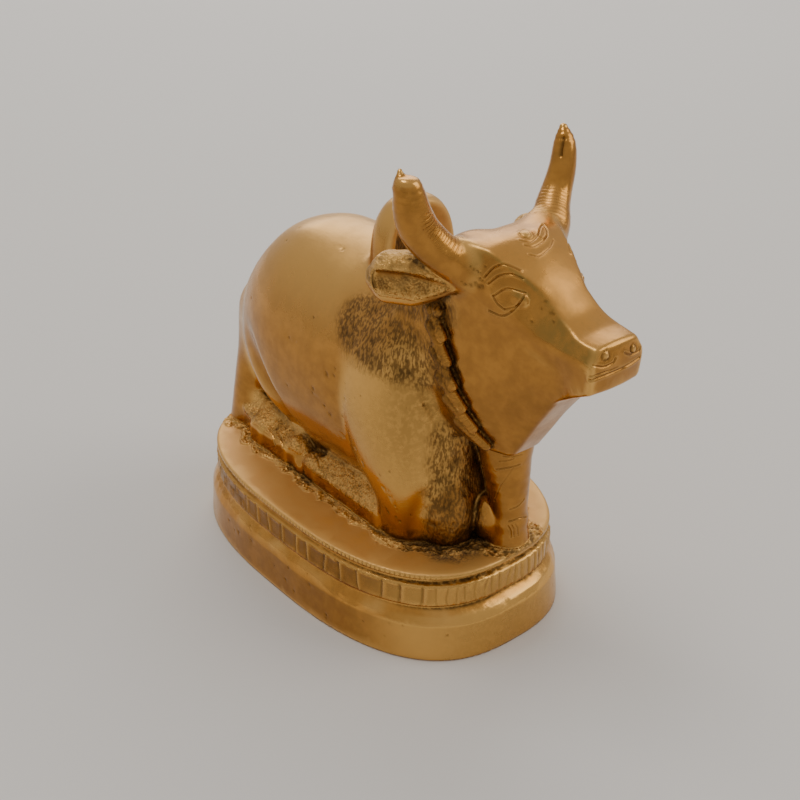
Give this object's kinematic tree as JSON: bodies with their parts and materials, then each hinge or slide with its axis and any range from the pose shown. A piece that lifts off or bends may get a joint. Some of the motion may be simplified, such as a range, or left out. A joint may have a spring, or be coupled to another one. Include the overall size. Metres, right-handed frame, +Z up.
{
  "type": "nandi bull figure",
  "caption": "Seated brass bull with horns, hump, twisted neck collar and one raised foreleg, cast with its oval moulded plinth.",
  "frame": {"origin": "centre of the plinth's flat underside", "axes": "+X towards the bull's muzzle, +Y towards its left side, +Z up"},
  "size_m": [0.1166, 0.0586, 0.1063],
  "materials": {
    "brass": "hand-polished cast brass, matt and darker in its recesses"
  },
  "bodies": {
    "root": {"nandi_bull": "brass"}
  },
  "joints": []
}
